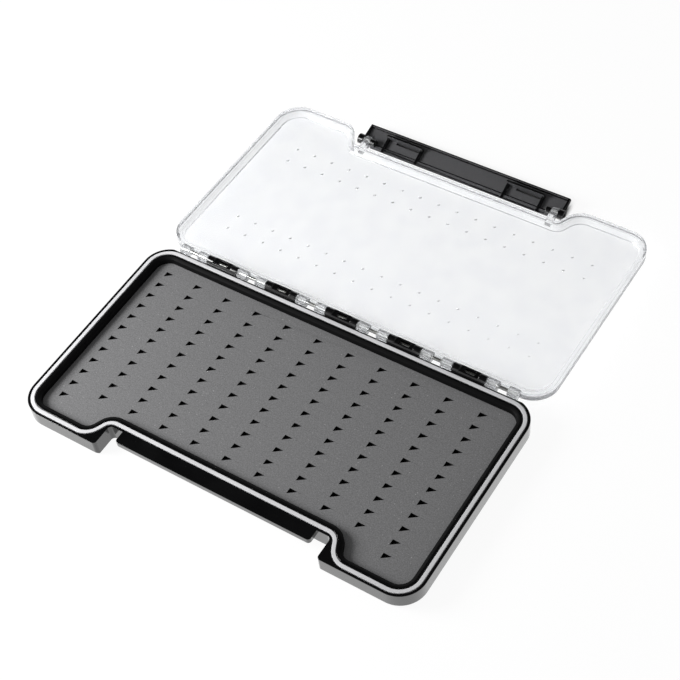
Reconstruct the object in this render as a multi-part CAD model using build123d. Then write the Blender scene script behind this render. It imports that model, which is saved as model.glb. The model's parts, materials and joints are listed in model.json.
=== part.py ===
from build123d import *
import math
import os

# Slim waterproof fly box, modelled lying open as it is used on a bench.
# Millimetres. Origin: centre of the tray's underside. +X runs along the box, +Y towards the hinge, +Z up.
# The lid and the latch flap are drawn in the closed position and then swung to the open rest position.

# Overall size
BODY_LENGTH = 188.0
BODY_DEPTH = 100.0
CORNER_RADIUS = 11.5
TRAY_HEIGHT = 8.0
CLOSED_HEIGHT = 13.5

# Tray
FLOOR_THICKNESS = 1.6
WALL_THICKNESS = 5.5
UNDERSIDE_BEVEL = 1.1
RIM_BEVEL_WIDTH = 1.4
RIM_BEVEL_DROP = 0.5

# Bay in the front edge, where the latch closes
BAY_HALF_WIDTH = 53.0
BAY_WALL_Y = -39.7
BAY_CORNER_RADIUS = 1.75
BAY_MOUTH_RADIUS = 1.5
LEDGE_HALF_WIDTH = 46.6
LEDGE_FRONT_Y = -45.0
LEDGE_THICKNESS = 3.0
LEDGE_CORNER_RADIUS = 1.5
LEDGE_NOSE_BEVEL = 0.4

# Gasket: its centreline follows the outline and swerves round the bay in an S at each side
SEAL_INSET = 2.1
SEAL_WIDTH = 2.0
SEAL_DEPTH = 1.6
SEAL_PROUD = 0.2
SWERVE_LOBE_X = 58.6
SWERVE_BAY_X = 53.95
SWERVE_LOBE_RADIUS = 8.0
SWERVE_BAY_RADIUS = 5.0

# Slit insert
ADHESIVE_THICKNESS = 0.2
ADHESIVE_INSET = 2.0
INSERT_TOP = 4.93
INSERT_GAP = 0.1
SLIT_COLUMNS = 11
SLIT_ROWS = 12
SLIT_PITCH_X = 15.574
SLIT_PITCH_Y = 6.667
SLIT_FIRST_X = -83.53
SLIT_FIRST_Y = 39.48
PIT_LENGTH = 3.1
PIT_WIDTH = 2.35
SLIT_LENGTH = 11.1
SLIT_WIDTH = 0.3
PIT_DEPTH = 2.7

# Main hinge
AXIS_Y = 51.9
AXIS_Z = TRAY_HEIGHT
BARREL_RADIUS = 2.2
BARREL_CLEARANCE = 0.3
PIN_RADIUS = 0.75
RUNNING_CLEARANCE = 0.05
PIN_HALF_LENGTH = 82.4
KNUCKLE_COUNT = 5
KNUCKLE_PITCH = 30.5
KNUCKLE_WIDTH = 15.5
SIDE_CLEARANCE = 0.35
LID_BARREL_WIDTH = 4.8
LID_END_BARREL = (78.6, 83.1)
HINGE_RELIEF_HALF = 86.5
WINDOW_LENGTH = 4.7
WINDOW_WIDTH = 2.2
WINDOW_BELOW_AXIS = 0.95
RECESS_LENGTH = 9.0
RECESS_ABOVE_AXIS = 1.35
ARM_BURY = 1.0
ARM_DEPTH = 3.9
ARM_TANGENT = math.radians(32.0)

# Lid
LID_GAP = 0.05
LID_WALL = 2.6
LID_TOP_THICKNESS = 1.6
LID_TOP_BEVEL = 1.2
LID_INNER_BEVEL = 0.8
SKIRT_WIDTH = 0.85
SKIRT_DROP = 0.35
LID_ARM_BURY = 0.5
LID_ARM_CORNER = 1.0
LID_ARM_LEAN = 0.9
LID_ARM_RISE = 4.0

# Lugs on the lid that carry the latch flap
PIVOT_Y = -45.5
PIVOT_Z = 9.9
LUG_X = 48.2
LUG_WIDTH = 2.6
LUG_RADIUS = 2.2
LUG_CLEARANCE = 0.3
LUG_BURY = 0.5
LUG_ROOT_LIFT = 0.6
LATCH_PIN_ENDS = (44.4, 52.2)

# Latch flap. Its section is set out from the pivot: distance along the flap to its free edge, and height
# across it, positive on the side that faces the box
FLAP_HALF_WIDTH = 51.4
FLAP_NEAR_EDGE = -1.2
FLAP_FAR_EDGE = 8.95
FLAP_OUTSIDE = -3.55
FLAP_FLOOR = -2.0
FLAP_FAR_RIM = (0.95, -1.15)
FLAP_NEAR_RIM = (0.85, -1.4)
FLAP_END_THICKNESS = 1.0
FLAP_END_SHOULDER = (2.2, -0.3)
FLAP_EDGE_BEVEL = 0.4
KNUCKLE_SPAN = (50.1, 52.8)
KNUCKLE_RADIUS = 2.4
INNER_KNUCKLE_SPAN = (44.2, 46.6)
INNER_KNUCKLE_RADIUS = 1.7

# Hooks on the flap: a wall that grips under the ledge, braced by two sloping ribs
HOOK_X = 31.15
HOOK_WIDTH = 18.7
HOOK_RIB = 1.2
HOOK_GAP = 0.1
HOOK_WALL = 1.0
HOOK_TOP = 1.4
HOOK_RIB_TOP = -0.4
HOOK_SLOT = 1.1
HOOK_SLOT_SPAN = (-4.5, 7.6)

# Open rest position: the lid swings past flat until its front edge touches the table, and the flap stops
# with its free edge raised, where the heel of its outer face meets the table
FLAP_RAISE = 19.5
EDGE_RISE = CLOSED_HEIGHT - AXIS_Z
EDGE_REACH = AXIS_Y + BODY_DEPTH / 2 - LID_TOP_BEVEL
DROOP = math.degrees(
    math.asin(AXIS_Z / math.hypot(EDGE_RISE, EDGE_REACH)) - math.atan2(EDGE_RISE, EDGE_REACH)
)
LID_SWING = 180.0 + DROOP
LATCH_SWING = 90.0 - DROOP - FLAP_RAISE

HINGE_AXIS = Axis((0, AXIS_Y, AXIS_Z), (1, 0, 0))
LATCH_AXIS = Axis((0, PIVOT_Y, PIVOT_Z), (1, 0, 0))


def seal_plan(grow):
    # Plan of everything that follows the gasket: its centreline moved out by grow
    half_x = BODY_LENGTH / 2 - SEAL_INSET
    half_y = BODY_DEPTH / 2 - SEAL_INSET
    bay_y = BAY_WALL_Y + SEAL_INSET
    corner = CORNER_RADIUS - SEAL_INSET
    points = [
        (-half_x, half_y),
        (half_x, half_y),
        (half_x, -half_y),
        (SWERVE_LOBE_X, -half_y),
        (SWERVE_BAY_X, bay_y),
        (-SWERVE_BAY_X, bay_y),
        (-SWERVE_LOBE_X, -half_y),
        (-half_x, -half_y),
    ]
    swerve = [SWERVE_LOBE_RADIUS, SWERVE_BAY_RADIUS, SWERVE_BAY_RADIUS, SWERVE_LOBE_RADIUS]
    radii = [corner] * 3 + swerve + [corner]
    centreline = make_face(FilletPolyline(*points, radius=radii, close=True))
    return offset(centreline, amount=grow) if grow else centreline


def slab(face, bottom, top):
    return Pos(0, 0, bottom) * extrude(face, top - bottom)


def bar(y, z, radius, x_from, x_to):
    # Round bar along X
    section = Plane.YZ * Pos(y, z) * Circle(radius)
    return Pos(x_from, 0, 0) * extrude(section, x_to - x_from)


def block(x, y, z):
    # Box given by its limits along each axis
    size = Box(x[1] - x[0], y[1] - y[0], z[1] - z[0])
    return Pos((x[0] + x[1]) / 2, (y[0] + y[1]) / 2, (z[0] + z[1]) / 2) * size


def prism(points, x_from, x_to):
    # Outline in the YZ plane, drawn out along X
    face = Plane.YZ * make_face(Polyline(*points, close=True))
    return Pos(x_from, 0, 0) * extrude(face, x_to - x_from)


def edges_at(shape, z):
    return shape.edges().filter_by(lambda edge: abs(edge.bounding_box().min.Z - z) < 1e-4
                                   and abs(edge.bounding_box().max.Z - z) < 1e-4)


def knuckle_centres():
    first = -(KNUCKLE_COUNT - 1) / 2
    return [(first + i) * KNUCKLE_PITCH for i in range(KNUCKLE_COUNT)]


def lid_barrel_spans():
    # Two barrels in each gap between the tray's knuckles, and two beyond each end one
    reach = KNUCKLE_WIDTH / 2 + SIDE_CLEARANCE
    spans = []
    for centre in knuckle_centres()[:-1]:
        spans.append((centre + reach, centre + reach + LID_BARREL_WIDTH))
        far = centre + KNUCKLE_PITCH - reach
        spans.append((far - LID_BARREL_WIDTH, far))
    outer = knuckle_centres()[-1] + reach
    for near, far in ((outer, outer + LID_BARREL_WIDTH), LID_END_BARREL):
        spans.append((near, far))
        spans.append((-far, -near))
    return spans


def tray_plan():
    bay_depth = BODY_DEPTH / 2 + BAY_WALL_Y
    bay = Pos(0, BAY_WALL_Y - bay_depth / 2) * Rectangle(2 * BAY_HALF_WIDTH, bay_depth)
    plan = RectangleRounded(BODY_LENGTH, BODY_DEPTH, CORNER_RADIUS) - bay
    bay_vertices = plan.vertices().filter_by(lambda v: abs(abs(v.X) - BAY_HALF_WIDTH) < 1e-4)
    inner = bay_vertices.filter_by(lambda v: abs(v.Y - BAY_WALL_Y) < 1e-4)
    plan = fillet(inner, BAY_CORNER_RADIUS)
    mouth = plan.vertices().filter_by(
        lambda v: abs(abs(v.X) - BAY_HALF_WIDTH) < 1e-4 and v.Y < -BODY_DEPTH / 2 + 1e-4
    )
    return fillet(mouth, BAY_MOUTH_RADIUS)


def tray_knuckle(centre):
    # Barrel with an arm into the back wall, open on top over the pin
    half = KNUCKLE_WIDTH / 2
    back = BODY_DEPTH / 2
    tangent_y = AXIS_Y + BARREL_RADIUS * math.sin(ARM_TANGENT)
    tangent_z = AXIS_Z - BARREL_RADIUS * math.cos(ARM_TANGENT)
    arm = [
        (back - ARM_BURY, AXIS_Z),
        (back - ARM_BURY, AXIS_Z - ARM_DEPTH),
        (back, AXIS_Z - ARM_DEPTH),
        (tangent_y, tangent_z),
        (AXIS_Y, AXIS_Z),
    ]
    knuckle = bar(AXIS_Y, AXIS_Z, BARREL_RADIUS, -half, half) + prism(arm, -half, half)
    window = block(
        (-WINDOW_LENGTH / 2, WINDOW_LENGTH / 2),
        (AXIS_Y - WINDOW_WIDTH / 2, AXIS_Y + WINDOW_WIDTH / 2),
        (AXIS_Z - WINDOW_BELOW_AXIS, AXIS_Z + BARREL_RADIUS),
    )
    recess = block(
        (-RECESS_LENGTH / 2, RECESS_LENGTH / 2),
        (AXIS_Y - BARREL_RADIUS, AXIS_Y + BARREL_RADIUS),
        (AXIS_Z + RECESS_ABOVE_AXIS, AXIS_Z + BARREL_RADIUS),
    )
    return Pos(centre, 0, 0) * (knuckle - window - recess)


def base_tray():
    body = slab(RectangleRounded(BODY_LENGTH, BODY_DEPTH, CORNER_RADIUS), 0, TRAY_HEIGHT)
    tray = chamfer(edges_at(body, 0), UNDERSIDE_BEVEL) & slab(tray_plan(), 0, TRAY_HEIGHT)
    cavity_plan = seal_plan(SEAL_INSET - WALL_THICKNESS)
    tray -= slab(cavity_plan, FLOOR_THICKNESS, TRAY_HEIGHT)
    rim = tray.faces().sort_by(Axis.Z)[-1]
    tray = chamfer(rim.inner_wires()[0].edges(), RIM_BEVEL_WIDTH, RIM_BEVEL_DROP, reference=rim)
    groove = seal_plan(SEAL_WIDTH / 2) - seal_plan(-SEAL_WIDTH / 2)
    tray -= slab(groove, TRAY_HEIGHT - SEAL_DEPTH, TRAY_HEIGHT)
    tray -= bar(AXIS_Y, AXIS_Z, BARREL_RADIUS + BARREL_CLEARANCE, -HINGE_RELIEF_HALF, HINGE_RELIEF_HALF)
    tray += catch_ledge()
    for centre in knuckle_centres():
        tray += tray_knuckle(centre)
    return tray - bar(AXIS_Y, AXIS_Z, PIN_RADIUS, -HINGE_RELIEF_HALF, HINGE_RELIEF_HALF)


def catch_ledge():
    # Shelf across the bay that the latch hooks under
    x = (-LEDGE_HALF_WIDTH, LEDGE_HALF_WIDTH)
    ledge = block(x, (LEDGE_FRONT_Y, BAY_WALL_Y + 0.5), (TRAY_HEIGHT - LEDGE_THICKNESS, TRAY_HEIGHT))
    front = ledge.edges().filter_by(Axis.Z).group_by(Axis.Y)[0]
    ledge = fillet(front, LEDGE_CORNER_RADIUS)
    nose = ledge.edges().filter_by(Axis.X).group_by(Axis.Y)[0].sort_by(Axis.Z)[0]
    return chamfer(nose, LEDGE_NOSE_BEVEL)


def seal_gasket():
    ring = seal_plan(SEAL_WIDTH / 2) - seal_plan(-SEAL_WIDTH / 2)
    return slab(ring, TRAY_HEIGHT - SEAL_DEPTH, TRAY_HEIGHT + SEAL_PROUD)


def slit_outline():
    # Triangular pit with a slit running on from its corner and narrowing to nothing
    points = [
        (0, 0),
        (SLIT_LENGTH, 0),
        (PIT_LENGTH * (1 - SLIT_WIDTH / PIT_WIDTH), -SLIT_WIDTH),
        (0, -PIT_WIDTH),
    ]
    return make_face(Polyline(*points, close=True))


def slit_places():
    # The middle columns are one row shorter, because the bay takes their front end
    places = []
    for column in range(SLIT_COLUMNS):
        at_side = column in (0, SLIT_COLUMNS - 1)
        rows = SLIT_ROWS if at_side else SLIT_ROWS - 1
        for row in range(rows):
            places.append((SLIT_FIRST_X + column * SLIT_PITCH_X, SLIT_FIRST_Y - row * SLIT_PITCH_Y))
    return places


def slit_insert():
    plan = seal_plan(SEAL_INSET - WALL_THICKNESS - INSERT_GAP)
    bottom = FLOOR_THICKNESS + ADHESIVE_THICKNESS
    slits = [Pos(x, y, INSERT_TOP - PIT_DEPTH) * extrude(slit_outline(), PIT_DEPTH) for x, y in slit_places()]
    return slab(plan, bottom, INSERT_TOP) - slits


def insert_adhesive():
    # Double-sided film cut in straight lines, set in from the insert's edge
    half_x = BODY_LENGTH / 2 - WALL_THICKNESS - ADHESIVE_INSET
    half_y = BODY_DEPTH / 2 - WALL_THICKNESS - ADHESIVE_INSET
    bay_y = BAY_WALL_Y + WALL_THICKNESS + ADHESIVE_INSET
    lobe_x = SWERVE_LOBE_X + WALL_THICKNESS + ADHESIVE_INSET
    sheet = Rectangle(2 * half_x, 2 * half_y) - Pos(0, bay_y - half_y) * Rectangle(2 * lobe_x, 2 * half_y)
    return slab(sheet, FLOOR_THICKNESS, FLOOR_THICKNESS + ADHESIVE_THICKNESS)


def hinge_pin():
    return bar(AXIS_Y, AXIS_Z, PIN_RADIUS, -PIN_HALF_LENGTH, PIN_HALF_LENGTH)


def lid_barrel(span):
    # Barrel with an arm up the outside of the lid's back wall
    back = BODY_DEPTH / 2
    arm = [
        (back - LID_ARM_BURY, AXIS_Z + LID_GAP),
        (AXIS_Y + BARREL_RADIUS, AXIS_Z + LID_GAP),
        (AXIS_Y + BARREL_RADIUS, AXIS_Z + BARREL_RADIUS - LID_ARM_CORNER),
        (AXIS_Y + BARREL_RADIUS - LID_ARM_CORNER, AXIS_Z + BARREL_RADIUS),
        (back + LID_ARM_LEAN, AXIS_Z + BARREL_RADIUS),
        (back, AXIS_Z + LID_ARM_RISE),
        (back - LID_ARM_BURY, AXIS_Z + LID_ARM_RISE),
    ]
    return bar(AXIS_Y, AXIS_Z, BARREL_RADIUS, *span) + prism(arm, *span)


def latch_lug(side):
    span = sorted((side * (LUG_X - LUG_WIDTH / 2), side * (LUG_X + LUG_WIDTH / 2)))
    root = BAY_WALL_Y + LUG_BURY
    arm = [
        (PIVOT_Y, PIVOT_Z - LUG_RADIUS),
        (root, TRAY_HEIGHT + LUG_ROOT_LIFT),
        (root, PIVOT_Z + LUG_RADIUS),
        (PIVOT_Y, PIVOT_Z + LUG_RADIUS),
    ]
    return bar(PIVOT_Y, PIVOT_Z, LUG_RADIUS, *span) + prism(arm, *span)


def lid_shell():
    rim = TRAY_HEIGHT + LID_GAP
    surface = CLOSED_HEIGHT - LID_TOP_THICKNESS
    lid = slab(seal_plan(SEAL_INSET), rim, CLOSED_HEIGHT)
    lid = chamfer(edges_at(lid, CLOSED_HEIGHT), LID_TOP_BEVEL)
    hollow = slab(seal_plan(SEAL_INSET - LID_WALL), rim, surface)
    lid -= chamfer(edges_at(hollow, surface), LID_INNER_BEVEL)
    lid -= slab(seal_plan(SEAL_INSET - SKIRT_WIDTH), rim, rim + SKIRT_DROP)
    reach = KNUCKLE_WIDTH / 2 + SIDE_CLEARANCE
    for centre in knuckle_centres():
        lid -= bar(AXIS_Y, AXIS_Z, BARREL_RADIUS + BARREL_CLEARANCE, centre - reach, centre + reach)
    for span in lid_barrel_spans():
        lid += lid_barrel(span)
    for side in (-1, 1):
        lid += latch_lug(side)
    bore = PIN_RADIUS + RUNNING_CLEARANCE
    lid -= bar(AXIS_Y, AXIS_Z, bore, -BODY_LENGTH / 2, BODY_LENGTH / 2)
    return lid - bar(PIVOT_Y, PIVOT_Z, PIN_RADIUS, -BAY_HALF_WIDTH, BAY_HALF_WIDTH)


def latch_pin(side):
    return bar(PIVOT_Y, PIVOT_Z, PIN_RADIUS, *sorted(side * end for end in LATCH_PIN_ENDS))


def flap_prism(points, x_from, x_to):
    # Outline in the flap's own section (along, across), drawn out along X in the closed position
    return prism([(PIVOT_Y + across, PIVOT_Z - along) for along, across in points], x_from, x_to)


def flap_block(x, along, across):
    y = (PIVOT_Y + across[0], PIVOT_Y + across[1])
    return block(x, y, (PIVOT_Z - along[1], PIVOT_Z - along[0]))


def flap_shell():
    # Plate with a low rim along both long edges and an end wall that rises to the knuckle
    width = (-FLAP_HALF_WIDTH, FLAP_HALF_WIDTH)
    plate = flap_block(width, (FLAP_NEAR_EDGE, FLAP_FAR_EDGE), (FLAP_OUTSIDE, FLAP_FLOOR))
    plate = chamfer(plate.faces().sort_by(Axis.Y)[0].edges(), FLAP_EDGE_BEVEL)
    far_thickness, far_top = FLAP_FAR_RIM
    near_thickness, near_top = FLAP_NEAR_RIM
    plate += flap_block(width, (FLAP_FAR_EDGE - far_thickness, FLAP_FAR_EDGE), (FLAP_FLOOR, far_top))
    plate += flap_block(width, (FLAP_NEAR_EDGE, FLAP_NEAR_EDGE + near_thickness), (FLAP_FLOOR, near_top))
    end = [
        (FLAP_NEAR_EDGE, FLAP_FLOOR),
        (FLAP_NEAR_EDGE, near_top),
        (0, 0),
        FLAP_END_SHOULDER,
        (FLAP_FAR_EDGE, far_top),
        (FLAP_FAR_EDGE, FLAP_FLOOR),
    ]
    inner = FLAP_HALF_WIDTH - FLAP_END_THICKNESS
    return plate + flap_prism(end, -FLAP_HALF_WIDTH, -inner) + flap_prism(end, inner, FLAP_HALF_WIDTH)


def flap_knuckle(side, ends, radius):
    # Barrel round the pin, on a web where it stands over the plate
    web = [(FLAP_NEAR_EDGE, FLAP_FLOOR), (-radius, 0), (radius, 0), (radius, FLAP_FLOOR)]
    foot = sorted(side * min(end, FLAP_HALF_WIDTH) for end in ends)
    barrel = bar(PIVOT_Y, PIVOT_Z, radius, *sorted(side * end for end in ends))
    return barrel + flap_prism(web, *foot)


def flap_hook(side):
    grip = PIVOT_Z - (TRAY_HEIGHT - LEDGE_THICKNESS) + HOOK_GAP
    left = side * HOOK_X - HOOK_WIDTH / 2
    right = left + HOOK_WIDTH
    rib = [
        (FLAP_NEAR_EDGE, FLAP_FLOOR),
        (FLAP_NEAR_EDGE, FLAP_NEAR_RIM[1]),
        (grip, HOOK_RIB_TOP),
        (grip, HOOK_TOP),
        (grip + HOOK_WALL, HOOK_TOP),
        (grip + HOOK_WALL, FLAP_FLOOR),
    ]
    wall = flap_block((left, right), (grip, grip + HOOK_WALL), (FLAP_FLOOR, HOOK_TOP))
    return wall + flap_prism(rib, left, left + HOOK_RIB) + flap_prism(rib, right - HOOK_RIB, right)


def hook_slot(side):
    # Opening through the plate in front of the gripping wall
    grip = PIVOT_Z - (TRAY_HEIGHT - LEDGE_THICKNESS) + HOOK_GAP
    x = (side * HOOK_X + HOOK_SLOT_SPAN[0], side * HOOK_X + HOOK_SLOT_SPAN[1])
    return flap_block(x, (grip - HOOK_SLOT, grip), (FLAP_OUTSIDE, FLAP_FLOOR))


def latch_flap():
    flap = flap_shell()
    for side in (-1, 1):
        flap += flap_knuckle(side, KNUCKLE_SPAN, KNUCKLE_RADIUS)
        flap += flap_knuckle(side, INNER_KNUCKLE_SPAN, INNER_KNUCKLE_RADIUS)
        flap += flap_hook(side)
        flap -= hook_slot(side)
        half = LUG_WIDTH / 2 + LUG_CLEARANCE
        centre = side * LUG_X
        flap -= bar(PIVOT_Y, PIVOT_Z, LUG_RADIUS + LUG_CLEARANCE, centre - half, centre + half)
    return flap - bar(PIVOT_Y, PIVOT_Z, PIN_RADIUS + RUNNING_CLEARANCE, -BAY_HALF_WIDTH, BAY_HALF_WIDTH)


def swing_lid(shape):
    return shape.rotate(HINGE_AXIS, -LID_SWING)


def swing_latch(shape):
    return swing_lid(shape.rotate(LATCH_AXIS, -LATCH_SWING))


def main():
    os.makedirs("parts", exist_ok=True)
    nodes = {
        "base_tray": base_tray(),
        "seal_gasket": seal_gasket(),
        "slit_insert": slit_insert(),
        "insert_adhesive": insert_adhesive(),
        "hinge_pin": hinge_pin(),
        "lid_shell": swing_lid(lid_shell()),
        "latch_pin_left": swing_lid(latch_pin(-1)),
        "latch_pin_right": swing_lid(latch_pin(1)),
        "latch_flap": swing_latch(latch_flap()),
    }
    for name, shape in nodes.items():
        export_step(shape, f"parts/{name}.step")
    print("lid swing", round(LID_SWING, 4), "latch swing", round(LATCH_SWING, 4))


main()
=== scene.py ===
import json
import math

import bmesh
import bpy
from mathutils import Matrix, Vector
from mathutils.bvhtree import BVHTree

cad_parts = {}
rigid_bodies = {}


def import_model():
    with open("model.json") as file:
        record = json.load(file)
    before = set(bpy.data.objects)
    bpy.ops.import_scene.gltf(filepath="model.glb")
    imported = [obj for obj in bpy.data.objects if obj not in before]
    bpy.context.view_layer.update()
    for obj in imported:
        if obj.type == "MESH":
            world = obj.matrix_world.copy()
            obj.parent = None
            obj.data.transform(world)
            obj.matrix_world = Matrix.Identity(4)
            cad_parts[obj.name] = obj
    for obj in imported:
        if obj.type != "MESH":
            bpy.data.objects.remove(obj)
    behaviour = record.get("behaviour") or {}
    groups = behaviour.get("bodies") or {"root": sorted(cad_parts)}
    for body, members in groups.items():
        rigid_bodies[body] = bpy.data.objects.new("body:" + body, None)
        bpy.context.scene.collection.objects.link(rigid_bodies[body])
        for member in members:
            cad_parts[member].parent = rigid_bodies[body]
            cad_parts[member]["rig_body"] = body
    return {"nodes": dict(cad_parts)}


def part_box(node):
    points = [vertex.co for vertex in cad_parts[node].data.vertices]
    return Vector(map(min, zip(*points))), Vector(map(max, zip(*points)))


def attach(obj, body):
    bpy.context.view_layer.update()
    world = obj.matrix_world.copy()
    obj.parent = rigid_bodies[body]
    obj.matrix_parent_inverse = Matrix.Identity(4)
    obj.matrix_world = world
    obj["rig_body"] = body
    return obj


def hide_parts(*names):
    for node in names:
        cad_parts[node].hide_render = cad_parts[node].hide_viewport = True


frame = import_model()
nodes = frame["nodes"]
scene = bpy.context.scene
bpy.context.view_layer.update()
mm = 0.001  # the pieces' values are in millimetres, the studio's in metres
print("frame loaded:", len(nodes), "nodes")


def linearColour(hexText):
    channels = [int(hexText[i:i + 2], 16) / 255 for i in (1, 3, 5)]
    return [c / 12.92 if c <= 0.04045 else ((c + 0.055) / 1.055) ** 2.4 for c in channels] + [1.0]


def addNode(tree, kind, values=None, links=None, stops=(), **settings):
    # A link comes from a socket or a node's first output; stops are a colour ramp's places and colours
    node = tree.nodes.new(kind)
    for name, value in settings.items():
        setattr(node, name, value)
    for socket, value in (values or {}).items():
        node.inputs[socket].default_value = value
    for socket, source in (links or {}).items():
        output = source.outputs[0] if hasattr(source, "outputs") else source
        tree.links.new(output, node.inputs[socket])
    for i, (position, hexText) in enumerate(stops):
        node.color_ramp.elements[i].position = position
        node.color_ramp.elements[i].color = linearColour(hexText)
    return node


def newMaterial(name):
    material = bpy.data.materials.new(name)
    material.use_nodes = True
    tree = material.node_tree
    tree.nodes.clear()
    place = addNode(tree, "ShaderNodeTexCoord").outputs["Object"]
    return material, tree, place


# Most of a noise lies within these bounds, so tones and finishes are spread between them
toneStops = (0.35, 0.65)
noiseSpan = {"From Min": 0.3, "From Max": 0.7}
layerWeight = 0.55  # how much each finer layer of a noise counts


def polishedAbs():
    # Black ABS from a polished mould: near black with a clear gloss, faint flow waviness and fine rub marks
    material, tree, place = newMaterial("polishedBlackAbs")
    flow = addNode(tree, "ShaderNodeTexNoise", {
        "Scale": 1 / (14 * mm), "Detail": 1.0, "Roughness": layerWeight,
    }, {"Vector": place})
    drawnOut = addNode(tree, "ShaderNodeMapping", {"Scale": (0.12, 1, 1)}, {"Vector": place})
    rub = addNode(tree, "ShaderNodeTexNoise", {
        "Scale": 1 / (0.9 * mm), "Detail": 4.0, "Roughness": layerWeight,
    }, {"Vector": drawnOut})
    black = addNode(tree, "ShaderNodeValToRGB", links={"Fac": flow},
                    stops=zip(toneStops, ("#070708", "#0d0d0e")))
    gloss = addNode(tree, "ShaderNodeMapRange", {
        **noiseSpan, "To Min": 0.14, "To Max": 0.22,
    }, {"Value": rub})
    waves = addNode(tree, "ShaderNodeBump", {"Strength": 0.6, "Distance": 0.02 * mm}, {"Height": flow})
    shader = addNode(tree, "ShaderNodeBsdfPrincipled", {
        "IOR": 1.53, "Coat Weight": 1.0, "Coat IOR": 1.5, "Coat Roughness": 0.1,
    }, {"Base Color": black, "Roughness": gloss, "Normal": waves})
    addNode(tree, "ShaderNodeOutputMaterial", links={"Surface": shader})
    return material


def erodedAbs():
    # The same ABS from a spark-eroded mould: a dull dark grey. Its even grain is drawn coarser than the
    # real one, which is too fine to show
    material, tree, place = newMaterial("sparkErodedBlackAbs")
    speck = addNode(tree, "ShaderNodeTexNoise", {
        "Scale": 1 / (0.35 * mm), "Detail": 3.0, "Roughness": layerWeight,
    }, {"Vector": place})
    grey = addNode(tree, "ShaderNodeValToRGB", links={"Fac": speck},
                   stops=zip(toneStops, ("#4a4a4c", "#59595b")))
    dull = addNode(tree, "ShaderNodeMapRange", {
        **noiseSpan, "To Min": 0.5, "To Max": 0.66,
    }, {"Value": speck})
    pits = addNode(tree, "ShaderNodeBump", {"Strength": 0.7, "Distance": 0.03 * mm}, {"Height": speck})
    shader = addNode(tree, "ShaderNodeBsdfPrincipled", {"IOR": 1.53}, {
        "Base Color": grey, "Roughness": dull, "Normal": pits,
    })
    addNode(tree, "ShaderNodeOutputMaterial", links={"Surface": shader})
    return material


def texturedAbs():
    # The same ABS where the mould has a fine texture, again drawn coarser: black without gloss, it drinks
    # the light
    material, tree, place = newMaterial("finelyTexturedBlackAbs")
    speck = addNode(tree, "ShaderNodeTexNoise", {
        "Scale": 1 / (0.3 * mm), "Detail": 3.0, "Roughness": layerWeight,
    }, {"Vector": place})
    black = addNode(tree, "ShaderNodeValToRGB", links={"Fac": speck},
                    stops=zip(toneStops, ("#060607", "#0b0b0c")))
    dull = addNode(tree, "ShaderNodeMapRange", {
        **noiseSpan, "To Min": 0.45, "To Max": 0.6,
    }, {"Value": speck})
    shader = addNode(tree, "ShaderNodeBsdfPrincipled", {"IOR": 1.53, "Specular IOR Level": 0.12}, {
        "Base Color": black, "Roughness": dull,
    })
    addNode(tree, "ShaderNodeOutputMaterial", links={"Surface": shader})
    return material


def whiteSilicone():
    # Extruded white silicone cord: matte, a little translucent, with a faint drawn texture
    material, tree, place = newMaterial("whiteSilicone")
    drawn = addNode(tree, "ShaderNodeTexNoise", {
        "Scale": 1 / (0.6 * mm), "Detail": 3.0, "Roughness": layerWeight,
    }, {"Vector": place})
    cloud = addNode(tree, "ShaderNodeTexNoise", {
        "Scale": 1 / (22 * mm), "Detail": 1.0, "Roughness": layerWeight,
    }, {"Vector": place})
    white = addNode(tree, "ShaderNodeValToRGB", links={"Fac": cloud},
                    stops=zip(toneStops, ("#e4e4e6", "#ededef")))
    matte = addNode(tree, "ShaderNodeMapRange", {
        **noiseSpan, "To Min": 0.45, "To Max": 0.6,
    }, {"Value": drawn})
    relief = addNode(tree, "ShaderNodeBump", {"Strength": 0.5, "Distance": 0.015 * mm}, {"Height": drawn})
    shader = addNode(tree, "ShaderNodeBsdfPrincipled", {
        "IOR": 1.41, "Subsurface Weight": 0.15, "Subsurface Scale": 0.001,
        "Subsurface Radius": (1.0, 1.0, 1.0),
    }, {"Base Color": white, "Roughness": matte, "Normal": relief})
    addNode(tree, "ShaderNodeOutputMaterial", links={"Surface": shader})
    return material


def greySilicone():
    # Moulded grey silicone sheet: flat and dusty, with a fine mottle and a few pale specks of dust
    material, tree, place = newMaterial("greySilicone")
    mottle = addNode(tree, "ShaderNodeTexNoise", {
        "Scale": 1 / (0.5 * mm), "Detail": 4.0, "Roughness": layerWeight,
    }, {"Vector": place})
    dust = addNode(tree, "ShaderNodeTexNoise", {
        "Scale": 1 / (0.8 * mm), "Detail": 1.0, "Roughness": layerWeight,
    }, {"Vector": place})
    grey = addNode(tree, "ShaderNodeValToRGB", links={"Fac": mottle},
                   stops=zip(toneStops, ("#727273", "#8c8c8d")))
    fleck = addNode(tree, "ShaderNodeMapRange", {"From Min": 0.73, "From Max": 0.78}, {"Value": dust})
    dusted = addNode(tree, "ShaderNodeMix", {"B": linearColour("#b4b4b4")}, {"Factor": fleck, "A": grey},
                     data_type="RGBA")
    flat = addNode(tree, "ShaderNodeMapRange", {
        **noiseSpan, "To Min": 0.7, "To Max": 0.85,
    }, {"Value": mottle})
    relief = addNode(tree, "ShaderNodeBump", {"Strength": 0.6, "Distance": 0.03 * mm}, {"Height": mottle})
    shader = addNode(tree, "ShaderNodeBsdfPrincipled", {"IOR": 1.41}, {
        "Base Color": dusted.outputs["Result"], "Roughness": flat, "Normal": relief,
    })
    addNode(tree, "ShaderNodeOutputMaterial", links={"Surface": shader})
    return material


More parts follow.
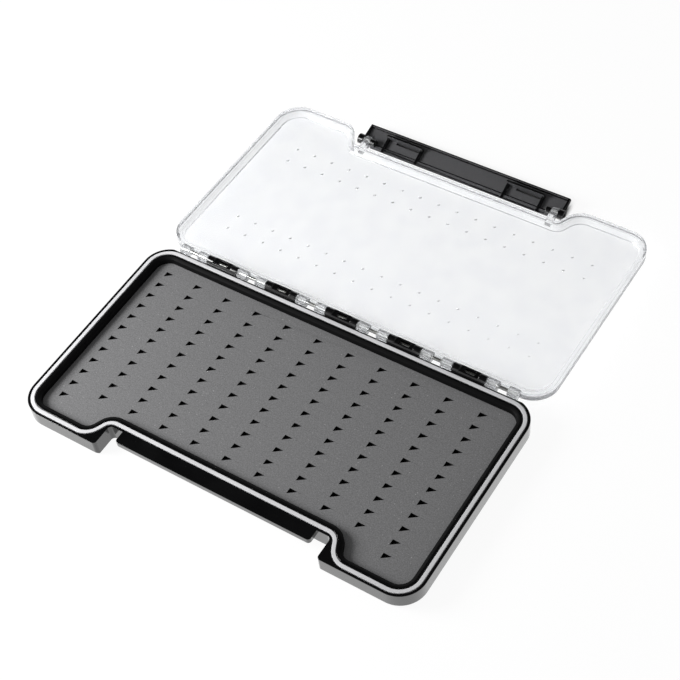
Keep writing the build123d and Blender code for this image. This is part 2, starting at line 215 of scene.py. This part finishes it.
def cutWallPaintedShade():
    # The walls of the cuts: the same silicone, torn by the blade, coloured near black as painted shade
    # because light dies in the cuts
    material, tree, place = newMaterial("paintedShadeCutSilicone")
    tear = addNode(tree, "ShaderNodeTexNoise", {
        "Scale": 1 / (0.4 * mm), "Detail": 3.0, "Roughness": layerWeight,
    }, {"Vector": place})
    shade = addNode(tree, "ShaderNodeValToRGB", links={"Fac": tear},
                    stops=zip(toneStops, ("#0e0e0e", "#1b1b1b")))
    torn = addNode(tree, "ShaderNodeMapRange", {
        **noiseSpan, "To Min": 0.8, "To Max": 0.95,
    }, {"Value": tear})
    shader = addNode(tree, "ShaderNodeBsdfPrincipled", {"IOR": 1.41, "Specular IOR Level": 0.2}, {
        "Base Color": shade, "Roughness": torn,
    })
    addNode(tree, "ShaderNodeOutputMaterial", links={"Surface": shader})
    return material


def adhesiveFilm():
    # Tissue tape under the insert: pale and fibrous
    material, tree, place = newMaterial("tissueAdhesiveFilm")
    drawnOut = addNode(tree, "ShaderNodeMapping", {"Scale": (0.3, 1, 1)}, {"Vector": place})
    fibre = addNode(tree, "ShaderNodeTexNoise", {
        "Scale": 1 / (1.2 * mm), "Detail": 4.0, "Roughness": layerWeight,
    }, {"Vector": drawnOut})
    pale = addNode(tree, "ShaderNodeValToRGB", links={"Fac": fibre},
                   stops=zip(toneStops, ("#cfc9bb", "#ddd8cc")))
    satin = addNode(tree, "ShaderNodeMapRange", {
        **noiseSpan, "To Min": 0.5, "To Max": 0.7,
    }, {"Value": fibre})
    shader = addNode(tree, "ShaderNodeBsdfPrincipled", {"IOR": 1.47}, {
        "Base Color": pale, "Roughness": satin,
    })
    addNode(tree, "ShaderNodeOutputMaterial", links={"Surface": shader})
    return material


def stainlessWire():
    # Drawn stainless wire: bright, with lines along its length, drawn coarser than the real ones to show
    material, tree, place = newMaterial("drawnStainlessWire")
    drawnOut = addNode(tree, "ShaderNodeMapping", {"Scale": (0.02, 1, 1)}, {"Vector": place})
    lines = addNode(tree, "ShaderNodeTexNoise", {
        "Scale": 1 / (0.12 * mm), "Detail": 2.0, "Roughness": layerWeight,
    }, {"Vector": drawnOut})
    steel = addNode(tree, "ShaderNodeValToRGB", links={"Fac": lines},
                    stops=zip(toneStops, ("#bdbdba", "#d6d6d3")))
    shine = addNode(tree, "ShaderNodeMapRange", {
        **noiseSpan, "To Min": 0.2, "To Max": 0.34,
    }, {"Value": lines})
    relief = addNode(tree, "ShaderNodeBump", {"Strength": 0.5, "Distance": 0.004 * mm}, {"Height": lines})
    shader = addNode(tree, "ShaderNodeBsdfPrincipled", {"Metallic": 1.0}, {
        "Base Color": steel, "Roughness": shine, "Normal": relief,
    })
    addNode(tree, "ShaderNodeOutputMaterial", links={"Surface": shader})
    return material


def clearPolycarbonate():
    # Clear moulded polycarbonate: glass-like, with a slight moulding ripple; lamps shine through it
    material, tree, place = newMaterial("clearPolycarbonate")
    ripple = addNode(tree, "ShaderNodeTexNoise", {
        "Scale": 1 / (9 * mm), "Detail": 1.0, "Roughness": layerWeight,
    }, {"Vector": place})
    water = addNode(tree, "ShaderNodeValToRGB", links={"Fac": ripple},
                    stops=zip(toneStops, ("#f5f6f8", "#f8f9fa")))
    gloss = addNode(tree, "ShaderNodeMapRange", {
        **noiseSpan, "To Min": 0.0, "To Max": 0.03,
    }, {"Value": ripple})
    waves = addNode(tree, "ShaderNodeBump", {"Strength": 0.4, "Distance": 0.01 * mm}, {"Height": ripple})
    clear = addNode(tree, "ShaderNodeBsdfPrincipled", {"IOR": 1.45, "Transmission Weight": 0.86}, {
        "Base Color": water, "Roughness": gloss, "Normal": waves,
    })
    through = addNode(tree, "ShaderNodeBsdfTransparent", {"Color": linearColour("#f6f7f9")})
    path = addNode(tree, "ShaderNodeLightPath")
    mix = addNode(tree, "ShaderNodeMixShader", links={
        "Fac": path.outputs["Is Shadow Ray"], 1: clear, 2: through,
    })
    addNode(tree, "ShaderNodeOutputMaterial", links={"Surface": mix})
    return material


finishes = {
    "polishedAbs": polishedAbs(),
    "erodedAbs": erodedAbs(),
    "texturedAbs": texturedAbs(),
    "whiteSilicone": whiteSilicone(),
    "greySilicone": greySilicone(),
    "cutWallPaintedShade": cutWallPaintedShade(),
    "adhesiveFilm": adhesiveFilm(),
    "stainlessWire": stainlessWire(),
    "clearPolycarbonate": clearPolycarbonate(),
}
print("materials ready:", len(finishes))

skin = {
    "weldGap": 0.002,
    "flatWithin": 0.6,  # degrees
    "sharpFrom": 18.5,  # degrees
}


def mergedMesh(nodeName, wholeFaces=True):
    # The node's triangles joined into one skin, as a rule with flat faces made whole
    mesh = bmesh.new()
    mesh.from_mesh(nodes[nodeName].data)
    bmesh.ops.remove_doubles(mesh, verts=mesh.verts, dist=skin["weldGap"] * mm)
    if wholeFaces:
        bmesh.ops.dissolve_limit(
            mesh, angle_limit=math.radians(skin["flatWithin"]), verts=mesh.verts, edges=mesh.edges,
            delimit={"NORMAL"},
        )
    return mesh


def finishPiece(mesh, name, finishNames, nodeName, edge=None, smooth=True):
    # The first finish covers the piece, save for the faces that a function gave another one
    data = bpy.data.meshes.new(name)
    mesh.to_mesh(data)
    mesh.free()
    data.set_sharp_from_angle(angle=math.radians(skin["sharpFrom"]))
    if not smooth:
        data.shade_flat()
    for finishName in finishNames:
        data.materials.append(finishes[finishName])
    piece = bpy.data.objects.new(name, data)
    scene.collection.objects.link(piece)
    if edge:
        softener = piece.modifiers.new("softEdges", "BEVEL")
        softener.width = edge * mm
        softener.segments = 2
        softener.limit_method = "ANGLE"
        softener.angle_limit = math.radians(skin["sharpFrom"])
        softener.use_clamp_overlap = False
        softener.harden_normals = True
    body = nodes[nodeName]["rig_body"]
    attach(piece, body)
    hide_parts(nodeName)
    return piece


tray = {
    "finishes": ("polishedAbs", "texturedAbs"),
    "edge": 0.16,
    "wallReach": 1.7,  # how near the slit sheet a wall of the cavity stands
    "levelFrom": 0.99,  # upward part of a normal
}


def dullWalls(mesh):
    # The cavity's walls and the slope above them, found by how near they stand to the slit sheet
    sheet = nodes["slit_insert"].data
    low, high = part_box("slit_insert")
    nearest = BVHTree.FromPolygons([v.co for v in sheet.vertices], [p.vertices for p in sheet.polygons])
    middle = (low.z + high.z) / 2
    for face in mesh.faces:
        centre = face.calc_center_median()
        if centre.z < low.z or face.normal.z > tray["levelFrom"]:
            continue
        gap = nearest.find_nearest((centre.x, centre.y, middle))[3]
        if gap < tray["wallReach"] * mm:
            face.material_index = tray["finishes"].index("texturedAbs")


trayMesh = mergedMesh("base_tray")
dullWalls(trayMesh)
trayPiece = finishPiece(trayMesh, "tray_moulding", tray["finishes"], "base_tray", tray["edge"])

gasket = {
    "finishes": ("whiteSilicone",),
    "edge": 0.2,
    "slack": 0.2,
}


def slimCord(mesh):
    # The cord is a little slimmer than its groove, which leaves a dark line along each side of it
    mesh.normal_update()
    slack = gasket["slack"] * mm
    for vert in mesh.verts:
        side = Vector((vert.normal.x, vert.normal.y, 0))
        vert.co -= side.normalized() * slack


gasketMesh = mergedMesh("seal_gasket")
slimCord(gasketMesh)
gasketPiece = finishPiece(gasketMesh, "gasket_cord", gasket["finishes"], "seal_gasket", gasket["edge"])

insert = {
    "finishes": ("greySilicone", "cutWallPaintedShade"),
    "firstSlit": (-83.53, 39.48),
    "pitch": (15.574, 6.667),
    "cadOutline": ((0.0, 0.0), (11.1, 0.0), (2.704, 0.3), (0.0, 2.35)),
    "realOutline": ((0.4, 0.25), (11.1, 0.55), (4.0, 0.38), (0.4, 3.0)),
    "startSlack": 0.05,  # a point this little before a slit still belongs to it
    "cornerSlack": 0.03,
    # The cut walls within this reach get the near-black painted shade
    "paintedShadeReach": (11.15, 3.1),  # how far along and across a cut's walls are found
    "topSkin": 0.01,
    "topLayer": 1.0,  # a level face this near the top is the sheet's own
    "bottomLayer": 0.1,
    "levelFrom": 0.5,  # upward part of a normal
}


def placeInSlit(point):
    # How far along and across a point lies from the start of its slit, in millimetres
    slack = insert["startSlack"]
    along = (point.x / mm - insert["firstSlit"][0] + slack) % insert["pitch"][0] - slack
    across = (insert["firstSlit"][1] - point.y / mm + slack) % insert["pitch"][1] - slack
    return along, across


def closeSlits(mesh):
    # The CAD's slits stand open a little; the real cuts close to a hairline, with a wider pit at one end
    near = insert["cornerSlack"]
    for vert in mesh.verts:
        along, across = placeInSlit(vert.co)
        for cad, real in zip(insert["cadOutline"], insert["realOutline"]):
            if abs(along - cad[0]) < near and abs(across - cad[1]) < near:
                vert.co.x += (real[0] - along) * mm
                vert.co.y -= (real[1] - across) * mm
                break
    mesh.normal_update()
    # Narrow triangles on the top that turned over in the move are turned back
    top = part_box("slit_insert")[1].z - insert["topSkin"] * mm
    for face in mesh.faces:
        if face.normal.z < -insert["levelFrom"] and all(vert.co.z > top for vert in face.verts):
            face.normal_flip()


def paintShadeOnCutWalls(mesh):
    # Upright faces inside the sheet are the cut walls, where the light dies; they get the near-black finish
    # as painted shade
    low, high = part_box("slit_insert")
    darkAlong, darkAcross = insert["paintedShadeReach"]
    for face in mesh.faces:
        centre = face.calc_center_median()
        along, across = placeInSlit(centre)
        isTop = abs(face.normal.z) > insert["levelFrom"] and centre.z > high.z - insert["topLayer"] * mm
        isBottom = centre.z <= low.z + insert["bottomLayer"] * mm
        if along < darkAlong and across < darkAcross and not isTop and not isBottom:
            face.material_index = insert["finishes"].index("cutWallPaintedShade")


insertMesh = mergedMesh("slit_insert", wholeFaces=False)
closeSlits(insertMesh)
paintShadeOnCutWalls(insertMesh)
insertPiece = finishPiece(insertMesh, "slit_sheet", insert["finishes"], "slit_insert", smooth=False)

lid = {
    "finishes": ("clearPolycarbonate",),
    "edge": 0.15,
    "hinge": (51.9, 8.0),
    "droop": 1.4235,  # degrees
    "surfaceBelowHinge": 3.9,
    "dimpleRows": (22.5, 30.5, 70.8, 79.1),
    "dimplesPerRow": 17,
    "dimplePitch": 9.45,
    "dimpleSides": 12,
    "dimpleFoot": 1.0,
    "dimpleTop": 0.5,
    "dimpleHeight": 0.6,
    "dimpleSunk": 0.15,
    "dimpleRound": 0.25,
}


def makeDimples():
    # Low moulded domes in four rows on the lid's inner surface, each sunk a little into the sheet
    mesh = bmesh.new()
    tall = (lid["dimpleHeight"] + lid["dimpleSunk"]) * mm
    middle = tall / 2 - (lid["surfaceBelowHinge"] + lid["dimpleSunk"]) * mm
    for row in lid["dimpleRows"]:
        for column in range(lid["dimplesPerRow"]):
            x = (column - (lid["dimplesPerRow"] - 1) / 2) * lid["dimplePitch"] * mm
            bmesh.ops.create_cone(
                mesh, cap_ends=True, segments=lid["dimpleSides"], radius1=lid["dimpleFoot"] * mm,
                radius2=lid["dimpleTop"] * mm, depth=tall, matrix=Matrix.Translation((x, row * mm, middle)),
            )
    surface = -lid["surfaceBelowHinge"] * mm
    rims = [edge for edge in mesh.edges if all(vert.co.z > surface for vert in edge.verts)]
    bmesh.ops.bevel(
        mesh, geom=rims, offset=lid["dimpleRound"] * mm, offset_type="OFFSET", segments=2, profile=0.5,
        affect="EDGES", material=-1,
    )
    hinge = Matrix.Translation((0, lid["hinge"][0] * mm, lid["hinge"][1] * mm))
    droop = Matrix.Rotation(math.radians(-lid["droop"]), 4, "X")
    bmesh.ops.transform(mesh, matrix=hinge @ droop, verts=mesh.verts)
    return mesh


def united(first, second):
    # Boolean union of two closed skins
    solids = []
    for mesh in (first, second):
        data = bpy.data.meshes.new("skin")
        mesh.to_mesh(data)
        mesh.free()
        solids.append(bpy.data.objects.new("skin", data))
        scene.collection.objects.link(solids[-1])
    join = solids[0].modifiers.new("join", "BOOLEAN")
    join.operation = "UNION"
    join.solver = "EXACT"
    join.object = solids[1]
    result = bmesh.new()
    result.from_object(solids[0], bpy.context.evaluated_depsgraph_get())
    for solid in solids:
        bpy.data.objects.remove(solid)
    return result


lidMesh = united(mergedMesh("lid_shell"), makeDimples())
lidPiece = finishPiece(lidMesh, "lid_moulding", lid["finishes"], "lid_shell", lid["edge"])
print("lid faces:", len(lidPiece.data.polygons))

# Outlines and heights are distances along and across the raised flap from its pivot
flap = {
    "finishes": ("polishedAbs", "erodedAbs", "texturedAbs"),
    "edge": 0.14,
    "pivot": (149.2227, 3.681),
    "raised": 19.5,  # degrees
    "nearRim": ((-2.5, -1.0), (-0.36, -1.0), (-0.36, -2.3), (-1.1, -2.6), (-2.5, -1.6)),
    "nearRimHalf": 46.45,
    "rib": ((-2.5, -0.6), (4.95, -0.4), (4.95, -2.1), (-1.1, -2.1), (-2.5, -1.3)),
    "ribWidth": 1.2,
    "hook": (31.15, 18.7),  # its middle along X and its width
    "dullNearRim": {"height": -1.0, "from": -2.5, "to": -0.36},
    # The dull floor stops short of both rims: the glossy black strips left beside them are painted shade
    "dullFloor": {"height": -2.0, "from": 0.4, "to": 7.6},
    "dullFarRim": {"height": -1.15, "from": 8.0, "to": 8.4},
    "hookWall": 5.0,
    "endFace": 51.0,
    "slack": 0.1,
    "cutSlack": 0.001,
    "facing": 0.95,  # part of a normal that points the right way
}
flapTurn = math.radians(flap["raised"])
flapAlong = Vector((0, math.cos(flapTurn), math.sin(flapTurn)))
flapAcross = Vector((0, -math.sin(flapTurn), math.cos(flapTurn)))
flapPivot = Vector((0, flap["pivot"][0] * mm, flap["pivot"][1] * mm))


def addBar(mesh, section, xFrom, xTo):
    # A bar along X, made corner by corner because the union with an extruded one varies from run to run
    rings = []
    for x in (xFrom, xTo):
        start = flapPivot + Vector((x * mm, 0, 0))
        rings.append([mesh.verts.new(start + (flapAlong * a + flapAcross * h) * mm) for a, h in section])
    mesh.faces.new(rings[0])
    mesh.faces.new(rings[1][::-1])
    for i in range(len(section)):
        j = (i + 1) % len(section)
        mesh.faces.new((rings[0][j], rings[0][i], rings[1][i], rings[1][j]))
    bmesh.ops.recalc_face_normals(mesh, faces=mesh.faces)


def makeNearRim():
    # The flap's near edge is fuller than in the CAD and covers the gap towards the lid
    mesh = bmesh.new()
    addBar(mesh, flap["nearRim"], -flap["nearRimHalf"], flap["nearRimHalf"])
    return mesh


def makeRibs():
    # The hooks' ribs run on over the near edge
    mesh = bmesh.new()
    place, width = flap["hook"]
    for centre in (-place, place):
        for start in (centre - width / 2, centre + width / 2 - flap["ribWidth"]):
            addBar(mesh, flap["rib"], start, start + flap["ribWidth"])
    return mesh


def dullPan(mesh):
    # The pan's floor, the near rim's top, the inner strip of the far rim's top and the front of each hook's
    # wall came from an eroded part of the mould, and the flap's two ends from a finely textured one. The
    # floor's dull part stops short of both rims, so the glossy black floor left along each rim is painted
    # shade there
    dullLevels = (flap["dullNearRim"], flap["dullFloor"], flap["dullFarRim"])
    for distance in (flap["dullFloor"]["from"], flap["dullFloor"]["to"], flap["dullFarRim"]["to"]):
        bmesh.ops.bisect_plane(
            mesh, geom=mesh.verts[:] + mesh.edges[:] + mesh.faces[:], dist=flap["cutSlack"] * mm,
            plane_co=flapPivot + flapAlong * distance * mm, plane_no=flapAlong,
        )
    near = flap["slack"]
    for face in mesh.faces:
        centre = face.calc_center_median()
        height = (centre - flapPivot).dot(flapAcross) / mm
        distance = (centre - flapPivot).dot(flapAlong) / mm
        isLevel = face.normal.dot(flapAcross) > flap["facing"] and any(
            abs(height - level["height"]) < near and level["from"] < distance < level["to"]
            for level in dullLevels
        )
        facesPivot = face.normal.dot(flapAlong) < -flap["facing"]
        isHookWall = facesPivot and abs(distance - flap["hookWall"]) < near
        if isLevel or isHookWall:
            face.material_index = flap["finishes"].index("erodedAbs")
        elif abs(centre.x) > flap["endFace"] * mm and abs(face.normal.x) > flap["facing"]:
            face.material_index = flap["finishes"].index("texturedAbs")


flapMesh = united(united(mergedMesh("latch_flap"), makeNearRim()), makeRibs())
dullPan(flapMesh)
flapPiece = finishPiece(flapMesh, "latch_moulding", flap["finishes"], "latch_flap", flap["edge"])

plainPieces = {
    "insert_adhesive": "adhesiveFilm",
    "hinge_pin": "stainlessWire",
    "latch_pin_left": "stainlessWire",
    "latch_pin_right": "stainlessWire",
}
for nodeName, finishName in plainPieces.items():
    nodes[nodeName].data.materials.clear()
    nodes[nodeName].data.materials.append(finishes[finishName])
print("pieces dressed")

camera = {
    "place": (0.25598, -0.26739, 0.50589),
    "right": (0.839975, 0.534957, -0.090901),
    "up": (-0.373894, 0.692008, 0.617518),
    "lens": 81.81,
    "sensorWidth": 36,
    "nearEnd": 0.01,
}


def addCamera():
    right = Vector(camera["right"]).normalized()
    up = Vector(camera["up"])
    up = (up - right * up.dot(right)).normalized()
    back = right.cross(up)
    turned = Matrix((right, up, back)).transposed().to_4x4()
    data = bpy.data.cameras.new("photoCamera")
    data.lens = camera["lens"]
    data.sensor_width = camera["sensorWidth"]
    data.clip_start = camera["nearEnd"]
    photoCamera = bpy.data.objects.new("photoCamera", data)
    photoCamera.matrix_world = Matrix.Translation(camera["place"]) @ turned
    scene.collection.objects.link(photoCamera)
    scene.camera = photoCamera


table = {
    "size": 4.0,
    "drop": 0.00005,
    "glow": 0.93,
    "seen": "#5c5c5c",
    "bounce": "#e6e6e6",
    "gapStart": (0.151, 0.153),
    "gapSide": (0.053, 0.051),
    "gapReach": 0.008,
    "gapShade": (0.5, 0.9),
    "gapSamples": 8,
}


def whiteTable():
    # Pale table: glows for the eye so that it reads white, and still takes the object's shadow. Under the
    # flap the glow fades with ambient occlusion where the table is closed in: painted shade for the dark
    # gap there
    material, tree, place = newMaterial("whiteTable")
    path = addNode(tree, "ShaderNodeLightPath")
    direct = addNode(tree, "ShaderNodeMath", links={
        0: path.outputs["Is Camera Ray"], 1: path.outputs["Is Glossy Ray"],
    }, operation="MAXIMUM")
    seen = addNode(tree, "ShaderNodeMath", links={
        0: direct, 1: path.outputs["Is Transmission Ray"],
    }, operation="MAXIMUM")
    spot = addNode(tree, "ShaderNodeSeparateXYZ", links={"Vector": place})
    offCentre = addNode(tree, "ShaderNodeMath", links={0: spot.outputs["X"]}, operation="ABSOLUTE")
    beyondLid = addNode(tree, "ShaderNodeMapRange", {
        "From Min": table["gapStart"][0], "From Max": table["gapStart"][1],
    }, {"Value": spot.outputs["Y"]})
    betweenEnds = addNode(tree, "ShaderNodeMapRange", {
        "From Min": table["gapSide"][0], "From Max": table["gapSide"][1],
    }, {"Value": offCentre})
    underFlap = addNode(tree, "ShaderNodeMath", links={0: beyondLid, 1: betweenEnds}, operation="MULTIPLY")
    nearby = addNode(tree, "ShaderNodeAmbientOcclusion", {"Distance": table["gapReach"]},
                     samples=table["gapSamples"])
    openness = addNode(tree, "ShaderNodeMapRange", {
        "From Min": table["gapShade"][0], "From Max": table["gapShade"][1],
    }, {"Value": nearby.outputs["AO"]})
    # Painted shade: under the flap the glow follows the ambient occlusion
    gap = addNode(tree, "ShaderNodeMix", {"A": 1.0}, {
        "Factor": underFlap, "B": openness,
    }, data_type="FLOAT")
    shown = addNode(tree, "ShaderNodeMath", links={0: seen, 1: gap}, operation="MULTIPLY")
    level = addNode(tree, "ShaderNodeMath", {1: table["glow"]}, {0: shown}, operation="MULTIPLY")
    tint = addNode(tree, "ShaderNodeMix", {
        "A": linearColour(table["seen"]), "B": linearColour(table["bounce"]),
    }, {"Factor": path.outputs["Is Diffuse Ray"]}, data_type="RGBA")
    matte = addNode(tree, "ShaderNodeBsdfDiffuse", links={"Color": tint.outputs["Result"]})
    glow = addNode(tree, "ShaderNodeEmission", links={"Strength": level})
    both = addNode(tree, "ShaderNodeAddShader", links={0: matte, 1: glow})
    addNode(tree, "ShaderNodeOutputMaterial", links={"Surface": both})
    return material


def addTable():
    mesh = bmesh.new()
    bmesh.ops.create_grid(mesh, x_segments=1, y_segments=1, size=table["size"])
    bmesh.ops.translate(mesh, vec=(0, 0, -table["drop"]), verts=mesh.verts)
    data = bpy.data.meshes.new("table")
    mesh.to_mesh(data)
    mesh.free()
    data.materials.append(whiteTable())
    tableTop = bpy.data.objects.new("table", data)
    scene.collection.objects.link(tableTop)


sky = {
    "level": 0.3,
    "overhead": 0.02,
    "throughGlass": 0.85,
    "fade": (0.15, 0.5),  # heights between which it darkens
}


def addSky():
    # White room low down, darker overhead, so that level gloss stays black and upright gloss turns grey
    world = bpy.data.worlds.new("studioSky")
    scene.world = world
    world.use_nodes = True
    tree = world.node_tree
    tree.nodes.clear()
    direction = addNode(tree, "ShaderNodeTexCoord").outputs["Generated"]
    height = addNode(tree, "ShaderNodeSeparateXYZ", links={"Vector": direction}).outputs["Z"]
    shade = addNode(tree, "ShaderNodeMapRange", {
        "From Min": sky["fade"][0], "From Max": sky["fade"][1], "To Min": 1.0, "To Max": sky["overhead"],
    }, {"Value": height}, interpolation_type="SMOOTHSTEP")
    path = addNode(tree, "ShaderNodeLightPath")
    glass = addNode(tree, "ShaderNodeMix", {"B": sky["throughGlass"]}, {
        "Factor": path.outputs["Is Transmission Ray"], "A": shade,
    }, data_type="FLOAT")
    backdrop = addNode(tree, "ShaderNodeMix", {"B": 1.0}, {
        "Factor": path.outputs["Is Camera Ray"], "A": glass,
    }, data_type="FLOAT")
    level = addNode(tree, "ShaderNodeMix", {"B": sky["level"]}, {
        "Factor": path.outputs["Is Diffuse Ray"], "A": backdrop,
    }, data_type="FLOAT")
    back = addNode(tree, "ShaderNodeBackground", links={"Strength": level})
    addNode(tree, "ShaderNodeOutputWorld", links={"Surface": back})


softbox = {
    "place": (-0.38, -0.20, 0.25),
    "size": 0.28,
    "watts": 2.9,
}


def addSoftbox():
    # A round softbox, low to the left of the front, aimed at the tray
    data = bpy.data.lights.new("keySoftbox", "AREA")
    data.shape = "DISK"
    data.size = softbox["size"]
    data.energy = softbox["watts"]
    lamp = bpy.data.objects.new("keySoftbox", data)
    aim = -Vector(softbox["place"])
    lamp.rotation_euler = aim.to_track_quat("-Z", "Y").to_euler()
    lamp.location = softbox["place"]
    scene.collection.objects.link(lamp)


addCamera()
addTable()
addSky()
addSoftbox()
scene.view_settings.view_transform = "Standard"
print("studio ready")
